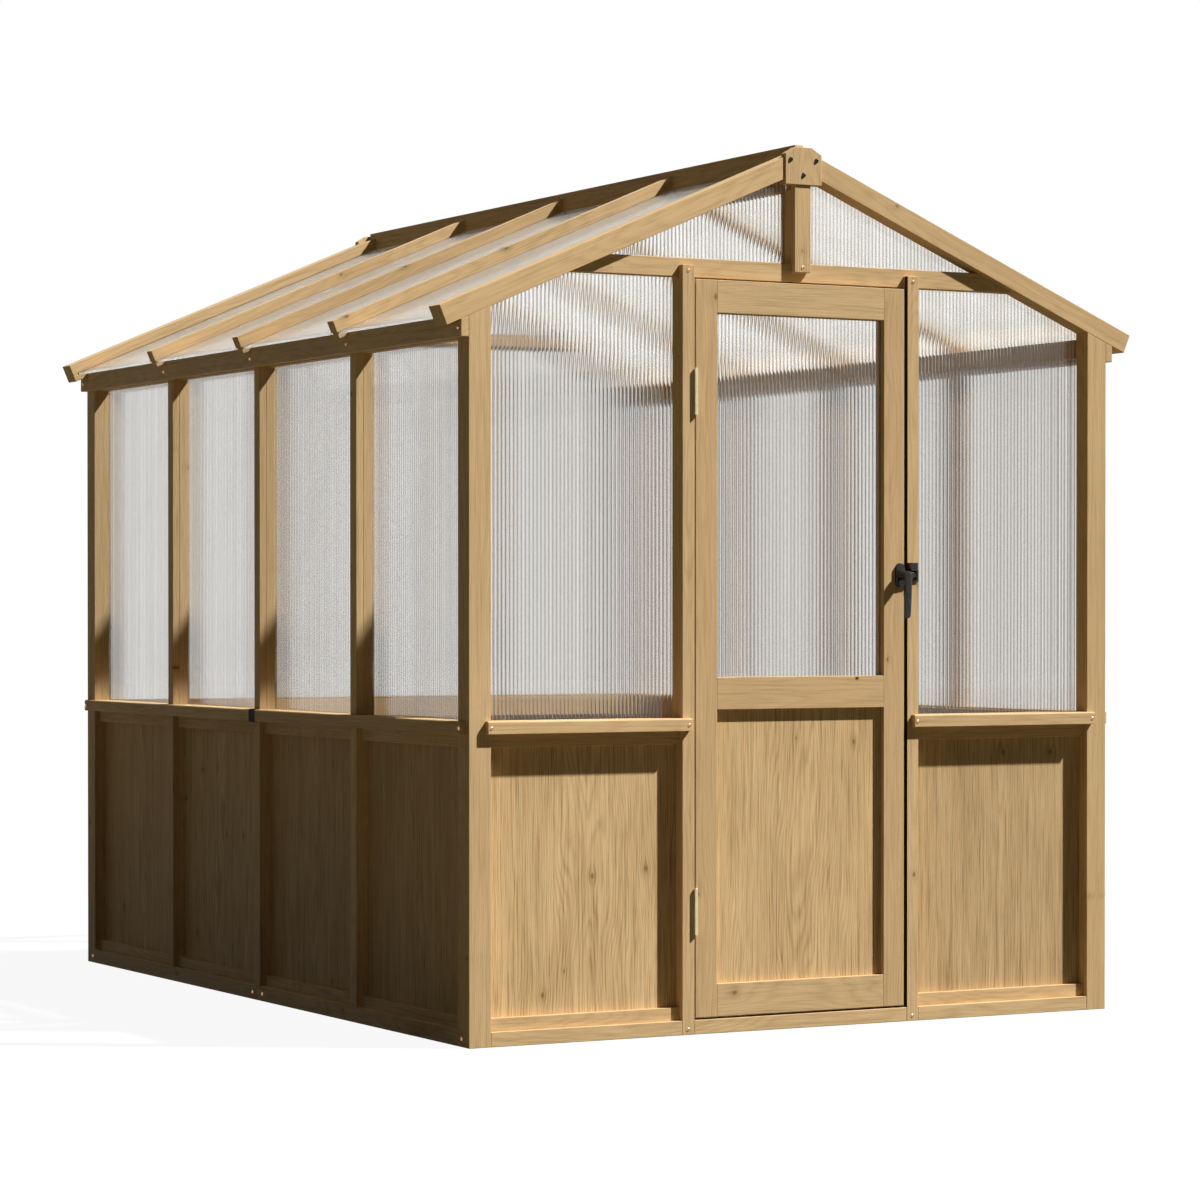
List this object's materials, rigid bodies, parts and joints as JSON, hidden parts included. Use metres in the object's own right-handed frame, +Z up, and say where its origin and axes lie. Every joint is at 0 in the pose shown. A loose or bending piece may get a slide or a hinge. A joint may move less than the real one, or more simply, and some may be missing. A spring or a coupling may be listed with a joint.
{
  "type": "greenhouse",
  "caption": "Small wooden greenhouse with a pitched roof, clear sheet glazing above wooden lower panels and a hinged half-glazed door with a turning lever latch.",
  "frame": {"origin": "on the ground at the centre of the footprint", "axes": "+X to the right seen from the door, +Y from the door gable to the rear gable, +Z up"},
  "size_m": [1.983, 2.5434, 2.1659],
  "materials": {
    "frame_wood": "oiled",
    "door_wood": "oiled",
    "panel_wood": "oiled",
    "glazing_sheet": "clear fluted sheet",
    "copper_screw": "satin copper tone",
    "black_metal": "black coated",
    "hinge_brass": "satin"
  },
  "bodies": {
    "frame": {"post_front_left": "frame_wood", "post_front_right": "frame_wood", "post_rear_left": "frame_wood", "post_rear_right": "frame_wood", "studs_left": "frame_wood", "studs_right": "frame_wood", "stud_covers": "frame_wood", "studs_rear": "frame_wood", "jamb_left": "frame_wood", "jamb_right": "frame_wood", "door_stops": "frame_wood", "base_rails_left": "frame_wood", "base_rails_right": "frame_wood", "base_rail_front": "frame_wood", "base_rail_rear": "frame_wood", "waist_rails_left": "frame_wood", "waist_rails_right": "frame_wood", "waist_rails_front": "frame_wood", "waist_rails_rear": "frame_wood", "top_rails_left": "frame_wood", "top_rails_right": "frame_wood", "panels_left": "panel_wood", "panels_right": "panel_wood", "panels_front": "panel_wood", "panels_rear": "panel_wood", "panel_battens": "frame_wood", "sills_left": "frame_wood", "sills_right": "frame_wood", "sills_front": "frame_wood", "sills_rear": "frame_wood", "sill_clips": "black_metal", "glazing_left": "glazing_sheet", "glazing_right": "glazing_sheet", "glazing_front": "glazing_sheet", "glazing_rear": "glazing_sheet", "gable_glazing": "glazing_sheet", "crossbeams": "frame_wood", "king_posts": "frame_wood", "eave_beam_left": "frame_wood", "eave_beam_right": "frame_wood", "rafters_front": "frame_wood", "rafters_rear": "frame_wood", "rafters_left": "frame_wood", "rafters_right": "frame_wood", "ridge_board": "frame_wood", "roof_glazing_left": "glazing_sheet", "roof_glazing_right": "glazing_sheet", "apex_plates": "frame_wood", "apex_bolts": "black_metal", "frame_screws": "copper_screw", "hinge_frame_leaves": "hinge_brass", "hinge_pins": "hinge_brass", "latch_keep": "black_metal"},
    "door": {"door_stiles": "door_wood", "door_rails": "door_wood", "door_panel": "panel_wood", "door_glazing": "glazing_sheet", "hinge_door_leaves": "hinge_brass", "latch_rose": "black_metal"},
    "handle": {"latch_handle": "black_metal"}
  },
  "joints": [
    {"name": "door_swing", "type": "hinge", "parent": "frame", "child": "door", "pos_m": [-0.3045, -1.24465, 0.9], "axis": [0, 0, -1], "range_deg": [0, 135]},
    {"name": "latch_turn", "type": "hinge", "parent": "door", "child": "handle", "pos_m": [0.283, -1.24, 1.112], "axis": [0, 1, 0], "range_deg": [0, 90]}
  ]
}
